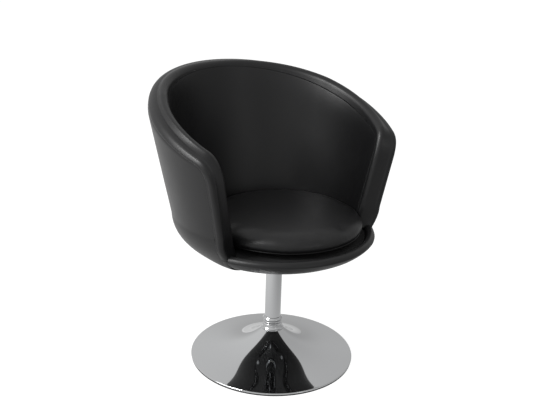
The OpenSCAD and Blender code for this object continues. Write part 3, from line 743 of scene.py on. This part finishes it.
def make_inner_cover():
    """The lining, from the inner seam down to the deck."""
    puff, puff_run = 1.4, 30            # stuffing between the seam and the deck
    taut_run = 40
    turn, m = inset(EDGE_R + SEAM_GAP)
    top = wall_z(m, 0)
    share = np.linspace(0, 1, 100)[:, None] ** 1.4
    z = top + (SEAM_Z - top) * share
    spread = np.broadcast_to(turn, z.shape)
    away = top - z
    proud = puff * (1 - np.exp(-away / puff_run)) * (1 - np.exp(-(z - SEAM_Z) / taut_run))
    proud = proud + swell(from_outline(spread, place_at(z)), spread) - seam_dip(away)
    proud = proud + ripple(spread, z, 0.5) * (1 - np.exp(-away / taut_run))
    grids = [at_turn(cone_r(z, depth) - proud, spread, z) for depth in (WALL_T, WALL_T - SKIN_T)]
    return skin_piece("inner_cover_leather", grids[0], grids[1], LEATHER)


# Front lip

LIP_AXIS_R = LIP_REACH - LIP_R
LIP_AXIS_Z = DECK_Z - TOUCH
LIP_BACK = 4.5                      # depth of the shell that the lip hooks over
LIP_END_R = 2                       # rounding of the lip's two ends


def lip_section(depth):
    """The lip's closed section, with its padded face moved in by a depth."""
    z = np.linspace(LIP_LOW + SEAM_GAP, LIP_AXIS_Z, 24)[:-1]
    u = (z - LIP_LOW) / (LIP_AXIS_Z - LIP_LOW)
    face = wall_r(place_at(z), 0) + LIP_OVER * u + 4 * LIP_PUFF * u * (1 - u) - depth * np.sqrt(u)
    roll = arc(LIP_AXIS_R, LIP_AXIS_Z, LIP_R - depth, 0, 180, 28)
    high = DECK_Z - LIP_R
    back_z = np.linspace(high, LIP_LOW + SEAM_GAP, 8)
    back = [(float(wall_r(place_at(h, LIP_BACK), LIP_BACK)), h) for h in back_z]
    heel_r = LIP_AXIS_R - LIP_R + depth
    heel = [(heel_r, LIP_AXIS_Z - 5), (heel_r, high + 1)]
    return np.array(list(zip(face, z)) + roll + heel + back)


def make_lip():
    """The padded roll between the arms' fronts, rounded at both ends."""
    end_gap = 0.6
    half = SEAM_TURN - math.degrees(end_gap / LIP_AXIS_R)
    mm_per_degree = math.radians(1) * LIP_AXIS_R
    end = LIP_END_R / mm_per_degree * (1 - np.cos(np.linspace(0, math.pi / 2, 9)))
    middle = np.linspace(-half + end[-1], half - end[-1], 150)
    turns = np.concatenate([-half + end[:-1], middle, (half - end[:-1])[::-1]])
    sections = []
    for turn in turns:
        left = min(LIP_END_R, (half - abs(turn)) * mm_per_degree)
        rounded = LIP_END_R - math.sqrt(max(0, LIP_END_R ** 2 - (LIP_END_R - left) ** 2))
        r, z = lip_section(rounded).T
        sections.append(at_turn(r + ripple(2 * turn, z, 0.3), turn, z))
    piece = loft_piece("front_lip_leather", np.array(sections), LEATHER)
    smooth_edges(piece, 60)
    return piece


# Deck and cushion

def make_deck():
    """Cloth-covered pad under the cushion."""
    low = DECK_Z - 8
    deck_r = LIP_REACH - 2 * LIP_R - 0.6
    top = DECK_Z + 0.3 + SKIN_T
    profile = ([(0, low), (deck_r - 12, low), (deck_r - 2, DECK_Z - 4)]
               + arc(deck_r - 2, top - 2.5, 2.2, -20, 90, 6)
               + [(deck_r * s, top) for s in (0.9, 0.6, 0.3)] + [(0, top)])
    return revolve_piece("deck_pad_cloth", profile, CLOTH, 128, (0, -TUB_AHEAD))


CUSHION_SLIP = (10.0, -7.0)         # it lies a little off its place
CUSHION_CENTRE = (CUSHION_SLIP[0], CUSHION_SLIP[1] - TUB_AHEAD - CUSHION_AHEAD)
CUSHION_IN = 6                      # its cover is drawn in by this much all round
CUSHION_RIM = CUSHION_R - CUSHION_IN
CUSHION_HALF = CUSHION_T / 2
CUSHION_SHOULDER = 38               # how far its upper edge is rounded over
CUSHION_TUCK = 46                   # how far its lower half draws in
SEAM_DOWN = 34                      # angle of the cushion's seam under its middle


def cushion_profile(shrink, steps=10):
    """Half section of the cushion, shrunk by so many mm."""
    mid_z = CUSHION_Z + CUSHION_HALF
    flat = CUSHION_RIM - CUSHION_SHOULDER
    tuck = CUSHION_RIM - CUSHION_TUCK
    half = CUSHION_HALF - shrink
    low = [(tuck + (CUSHION_TUCK - shrink) * math.cos(t), mid_z + half * math.sin(t))
           for t in np.linspace(-math.pi / 2, 0, 2 * steps)[:-1]]
    side = [(flat + (CUSHION_SHOULDER - shrink) * math.cos(t), mid_z + half * math.sin(t))
            for t in np.linspace(0, math.pi / 2, 2 * steps)]
    top = [(flat * s, CUSHION_Z + CUSHION_T - shrink + (CROWN_H - shrink) * (1 - s * s))
           for s in np.linspace(0.95, 0, 2 * steps)]
    base = [(tuck * s, CUSHION_Z + shrink) for s in np.linspace(0, 0.95, steps)]
    return base + low + side + top


# Radius and height of the cushion's seam
SEAM_RING = (CUSHION_RIM - CUSHION_TUCK * (1 - math.cos(math.radians(SEAM_DOWN))),
             CUSHION_Z + CUSHION_HALF * (1 - math.sin(math.radians(SEAM_DOWN))))


def vertex_array(piece):
    """The piece's points in metres."""
    points = np.zeros(len(piece.data.vertices) * 3)
    piece.data.vertices.foreach_get("co", points)
    return points.reshape(-1, 3)


def set_vertices(piece, points):
    """Moves the piece's points, in metres."""
    piece.data.vertices.foreach_set("co", points.reshape(-1))
    piece.data.update()


def apply_modifiers(piece):
    """Turns what the modifiers make into the piece's own mesh and removes them."""
    graph = bpy.context.evaluated_depsgraph_get()
    made = bpy.data.meshes.new_from_object(piece.evaluated_get(graph), depsgraph=graph)
    old = piece.data
    piece.modifiers.clear()
    piece.data = made
    bpy.data.meshes.remove(old)
    made.name = piece.name
    made.polygons.foreach_set("use_smooth", [True] * len(made.polygons))


def inflate(piece, voxel_mm, cap_mm, pinned, frames=20):
    """Blows a closed mesh up as cloth, holds the pinned places and caps how far a point moves."""
    remesh = piece.modifiers.new("remesh", "REMESH")
    remesh.mode = "VOXEL"
    remesh.voxel_size = voxel_mm * MM
    apply_modifiers(piece)
    start = vertex_array(piece)
    hold = piece.vertex_groups.new(name="hold")
    for i in np.nonzero(pinned(start / MM))[0]:
        hold.add([int(i)], 1.0, "REPLACE")
    cloth = piece.modifiers.new("cloth", "CLOTH")
    cloth.settings.quality = 6
    cloth.settings.mass = 0.4
    cloth.settings.tension_stiffness = 20
    cloth.settings.compression_stiffness = 20
    cloth.settings.shear_stiffness = 10
    cloth.settings.bending_stiffness = 2
    cloth.settings.use_pressure = True
    cloth.settings.uniform_pressure_force = 4
    cloth.settings.vertex_group_mass = "hold"
    cloth.settings.effector_weights.gravity = 0
    cloth.collision_settings.use_collision = False
    scene = bpy.context.scene
    scene.frame_start, scene.frame_end = 1, frames
    for number in range(1, frames + 1):
        scene.frame_set(number)
    apply_modifiers(piece)
    scene.frame_set(1)
    step = vertex_array(piece) - start
    far = np.linalg.norm(step, axis=1)[:, None]
    set_vertices(piece, start + step * np.minimum(1, cap_mm * MM / np.maximum(far, 1e-9)))


def press_into_tub(points):
    """Keeps the cushion's points, in metres, over the deck and inside the lining."""
    clear = 1.9                         # to the lining, in mm
    free_turn = 5                       # past the arms' fronts it is free after so many degrees
    across, ahead = points[:, 0], points[:, 1] + TUB_AHEAD * MM
    r = np.hypot(across, ahead)
    turn = np.degrees(np.abs(np.arctan2(across, -ahead)))
    room = cone_r(points[:, 2] / MM, WALL_T)
    before = np.radians(turn - SEAM_TURN) * room
    room = (room - clear - swell(before, turn)) * MM
    tight = np.minimum(1, room / np.maximum(r, 1e-9))
    free = np.clip((SEAM_TURN + 1 - turn) / free_turn, 0, 1)
    free = free * free * (3 - 2 * free)
    keep = tight + (1 - tight) * free
    return np.stack([across * keep, ahead * keep - TUB_AHEAD * MM,
                     np.maximum(points[:, 2], CUSHION_Z * MM)], 1)


def make_cushion():
    """The loose cushion: a crowned form, blown up as cloth between its seam and its flat base."""
    shrink = 3.0                        # it starts smaller, because it swells
    piece = revolve_piece("seat_cushion_leather", cushion_profile(shrink), LEATHER, 160, CUSHION_CENTRE)

    def near_seam(points):
        """The places that the seam and the base hold."""
        r = np.hypot(points[:, 0] - CUSHION_CENTRE[0], points[:, 1] - CUSHION_CENTRE[1])
        gap = np.hypot(r - SEAM_RING[0] + 2.5, points[:, 2] - SEAM_RING[1] - 1.5)
        return (gap < 4.0) | (points[:, 2] < CUSHION_Z + 4.5)

    inflate(piece, voxel_mm=5.0, cap_mm=4.0, pinned=near_seam)
    soften = piece.modifiers.new("soften", "SMOOTH")
    soften.factor = 0.5
    soften.iterations = 30
    apply_modifiers(piece)
    set_vertices(piece, press_into_tub(vertex_array(piece)))
    smooth = piece.modifiers.new("smooth", "SUBSURF")
    smooth.levels = smooth.render_levels = 1
    apply_modifiers(piece)
    return piece


def make_welt(name, ring, bead, cushion):
    """A piping bead round the cushion, laid on its surface."""
    tree = BVHTree.FromObject(cushion, bpy.context.evaluated_depsgraph_get())
    count, around = 220, 8
    centre_line = Vector((CUSHION_CENTRE[0], CUSHION_CENTRE[1], 0)) * MM
    turns = np.linspace(0, 2 * math.pi, around, endpoint=False)
    sections = []
    for i in range(count):
        a = 2 * math.pi * i / count
        out = Vector((math.sin(a), -math.cos(a), 0))
        aim = centre_line + out * ring[0] * MM + Vector((0, 0, ring[1] * MM))
        spot, normal, _, _ = tree.find_nearest(aim)
        centre = np.array(spot / MM + normal * bead * 0.1)
        sections.append([centre + bead * (np.array(out) * math.cos(t) + np.array((0, 0, math.sin(t))))
                         for t in turns])
    return loft_piece(name, np.array(sections), LEATHER, closed=True)


def seat_piece(piece, replaced=()):
    """Rides a piece on the seat and hides the nodes it stands for and its stuffing."""
    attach(piece, "seat")
    if replaced:
        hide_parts(*replaced)
    return piece


seat_piece(make_outer_cover(), ("outer_cover", "outer_wadding"))
seat_piece(make_front_panel())
seat_piece(make_rim_band(), ("rim_band", "rim_roll"))
for side in (1, -1):
    seat_piece(make_band_tail(side))
seat_piece(make_inner_cover(), ("inner_cover", "wall_padding"))
seat_piece(make_lip(), ("lip_cover", "lip_padding"))
seat_piece(make_deck(), ("deck_cover", "deck_pad"))
cushion = seat_piece(make_cushion(), ("seat_cushion", "cushion_core"))
seat_piece(make_welt("cushion_welt", SEAM_RING, 1.3, cushion))


# Stitches along the band's seams

def stitch_tree():
    """Thread stitches along a line, with pitch, length and width in metres as inputs."""
    tree = bpy.data.node_groups.new("stitches_along_seam", "GeometryNodeTree")
    tree.interface.new_socket("Seam", in_out="INPUT", socket_type="NodeSocketGeometry")
    for name in ("Pitch", "Length", "Width"):
        tree.interface.new_socket(name, in_out="INPUT", socket_type="NodeSocketFloat")
    tree.interface.new_socket("Stitches", in_out="OUTPUT", socket_type="NodeSocketGeometry")
    given = add(tree, "NodeGroupInput")
    line = add(tree, "GeometryNodeMeshToCurve", {0: given.outputs["Seam"]})
    spaced = add(tree, "GeometryNodeResampleCurve",
                 {"Curve": line.outputs[0], "Length": given.outputs["Pitch"]}, mode="LENGTH")
    stitch = add(tree, "GeometryNodeMeshUVSphere", Segments=6, Rings=5, Radius=0.5)
    along = add(tree, "GeometryNodeInputTangent")
    turned = add(tree, "FunctionNodeAlignRotationToVector", {"Vector": along.outputs[0]}, axis="Z")
    size = add(tree, "ShaderNodeCombineXYZ", {"X": given.outputs["Width"], "Y": given.outputs["Width"],
                                              "Z": given.outputs["Length"]})
    row = add(tree, "GeometryNodeInstanceOnPoints",
              {"Points": spaced.outputs[0], "Instance": stitch.outputs["Mesh"],
               "Rotation": turned.outputs[0], "Scale": size.outputs[0]})
    real = add(tree, "GeometryNodeRealizeInstances", {"Geometry": row.outputs[0]})
    smooth = add(tree, "GeometryNodeSetShadeSmooth", {0: real.outputs[0]})
    dressed = add(tree, "GeometryNodeSetMaterial", {"Geometry": smooth.outputs[0]}, Material=THREAD)
    add(tree, "NodeGroupOutput", {"Stitches": dressed.outputs[0]})
    return tree


def make_stitches(name, points, tree, sizes):
    """One row of stitches along a line of points in mm."""
    mesh = bpy.data.meshes.new(name)
    mesh.from_pydata((points * MM).tolist(), [[i, i + 1] for i in range(len(points) - 1)], [])
    piece = bpy.data.objects.new(name, mesh)
    bpy.context.scene.collection.objects.link(piece)
    sewing = piece.modifiers.new("stitches", "NODES")
    sewing.node_group = tree
    for item in tree.interface.items_tree:
        if item.in_out == "INPUT" and item.name in sizes:
            sewing[item.identifier] = sizes[item.name] * MM
    apply_modifiers(piece)
    return piece


STITCHES = stitch_tree()
STITCH_SIZES = {"Pitch": 4.2, "Length": 3.2, "Width": 0.5}
FROM_SEAM = 2.6                     # distance of the stitches from the seam, in mm
stitch_p = EDGE_R - FROM_SEAM
stitch_turn, stitch_m = inset(stitch_p)
for name, depth in (("outer_seam_stitches", drawn_in(stitch_p) - 0.3),
                    ("inner_seam_stitches", WALL_T + swell(stitch_p) + 0.1)):
    line = at_turn(rim_r(stitch_m, depth), stitch_turn, wall_z(stitch_m, 0))
    seat_piece(make_stitches(name, line, STITCHES, STITCH_SIZES))


# Floor, light and camera

STUDIO_RIGHT = (0.82, -0.57, 0.0)   # the studio's darker side


def across_studio(tree, place, low, high, reach):
    """A soft fall in strength from the studio's bright side to its darker one."""
    side = add(tree, "ShaderNodeVectorMath", {0: place}, operation="DOT_PRODUCT")
    side.inputs[1].default_value = STUDIO_RIGHT
    tone = add(tree, "ShaderNodeMapRange", {"Value": side.outputs["Value"]},
               interpolation_type="SMOOTHSTEP", From_Min=-reach, From_Max=reach,
               To_Min=high, To_Max=low)
    return tone.outputs["Result"]


def make_floor():
    # Pale studio floor: plain white to the eye, and it keeps the chair's soft shadow
    material, tree = new_material("pale_studio_floor")
    path = add(tree, "ShaderNodeLightPath")
    matt = add(tree, "ShaderNodeBsdfDiffuse")
    matt.inputs["Color"].default_value = linear("#e0e0e0")
    faint = add(tree, "ShaderNodeBsdfDiffuse")
    faint.inputs["Color"].default_value = (0.2, 0.2, 0.2, 1.0)
    plain = add(tree, "ShaderNodeEmission", Strength=0.92)
    # In glossy rays the floor glows instead: a painted reflection of studio light, full strength on the
    # bright side and 0.45 on the darker one
    tone = across_studio(tree, pattern_place(tree), 0.45, 1.0, 0.9)
    painted_gloss_glow = add(tree, "ShaderNodeEmission", {"Strength": tone})
    seen = add(tree, "ShaderNodeAddShader", {0: faint.outputs[0], 1: plain.outputs[0]})
    lit = add(tree, "ShaderNodeMixShader",
              {0: path.outputs["Is Glossy Ray"], 1: matt.outputs[0], 2: painted_gloss_glow.outputs[0]})
    mix = add(tree, "ShaderNodeMixShader",
              {0: path.outputs["Is Camera Ray"], 1: lit.outputs[0], 2: seen.outputs[0]})
    finished(material, tree, mix)
    half = 60
    corners = [(-half, -half, 0), (half, -half, 0), (half, half, 0), (-half, half, 0)]
    mesh = bpy.data.meshes.new("studio_floor")
    mesh.from_pydata(corners, [], [[0, 1, 2, 3]])
    mesh.materials.append(material)
    floor = bpy.data.objects.new("studio_floor", mesh)
    bpy.context.scene.collection.objects.link(floor)


def make_world():
    """White to the eye, a soft even fill for the object, and a pale room in its gloss."""
    world = bpy.data.worlds.new("studio_white")
    bpy.context.scene.world = world
    world.use_nodes = True
    tree = world.node_tree
    tree.nodes.clear()
    path = add(tree, "ShaderNodeLightPath")
    seen = add(tree, "ShaderNodeMath",
               {0: path.outputs["Is Camera Ray"], 1: path.outputs["Is Transmission Ray"]},
               operation="MAXIMUM")
    direction = add(tree, "ShaderNodeTexCoord").outputs["Generated"]
    side = across_studio(tree, direction, 0.60, 0.90, 0.8)
    height = add(tree, "ShaderNodeSeparateXYZ", {0: direction})
    rise = add(tree, "ShaderNodeMapRange", {"Value": height.outputs["Z"]},
               interpolation_type="SMOOTHSTEP", From_Min=0.0, From_Max=0.45, To_Min=0.72, To_Max=1.0)
    tone = add(tree, "ShaderNodeMath", {0: side, 1: rise.outputs["Result"]}, operation="MULTIPLY")
    white = add(tree, "ShaderNodeBackground", Strength=1.0, Color=(1, 1, 1, 1))
    soft = add(tree, "ShaderNodeBackground", Strength=0.68, Color=(1, 1, 1, 1))
    room = add(tree, "ShaderNodeBackground", {"Strength": tone.outputs[0]}, Color=(1, 1, 1, 1))
    lit = add(tree, "ShaderNodeMixShader",
              {0: path.outputs["Is Glossy Ray"], 1: soft.outputs[0], 2: room.outputs[0]})
    mix = add(tree, "ShaderNodeMixShader", {0: seen.outputs[0], 1: lit.outputs[0], 2: white.outputs[0]})
    add(tree, "ShaderNodeOutputWorld", {"Surface": mix.outputs[0]})


def area_light(name, place, aim, size, watts, spread=180):
    """A softbox, in metres, aimed at a point. A grid on it narrows its spread, in degrees."""
    data = bpy.data.lights.new(name, "AREA")
    data.spread = math.radians(spread)
    data.shape = "RECTANGLE"
    data.size, data.size_y = size
    data.energy = watts
    light = bpy.data.objects.new(name, data)
    light.location = place
    light.rotation_euler = (Vector(aim) - Vector(place)).to_track_quat("-Z", "Y").to_euler()
    bpy.context.scene.collection.objects.link(light)


def make_camera():
    """The camera at the photograph's place and angle."""
    heading, pitch = math.radians(HEADING), math.radians(PITCH)
    level = math.cos(pitch)
    view = Vector((math.sin(heading) * level, math.cos(heading) * level, math.sin(pitch)))
    data = bpy.data.cameras.new("photo_camera")
    data.sensor_fit = "HORIZONTAL"
    data.sensor_width = SENSOR
    data.lens = LENS
    camera = bpy.data.objects.new("photo_camera", data)
    turned = view.to_track_quat("-Z", "Y").to_matrix() @ Matrix.Rotation(math.radians(ROLL), 3, "Z")
    camera.matrix_world = Matrix.Translation(EYE) @ turned.to_4x4()
    bpy.context.scene.collection.objects.link(camera)
    bpy.context.scene.camera = camera


make_floor()
make_world()
area_light("key_softbox", (-2.4, 0.35, 1.55), (0.1, 0, 0.5), (1.2, 1.2), 29)
area_light("rim_softbox", (-1.8, 0.1, 2.4), (-0.2, 0, 0.6), (0.7, 0.7), 40)
area_light("front_softbox", (0.3, -2.7, 1.3), (0.0, -0.2, 0.42), (2.2, 0.8), 0.2, spread=18)
make_camera()
bpy.context.scene.view_settings.view_transform = "Standard"
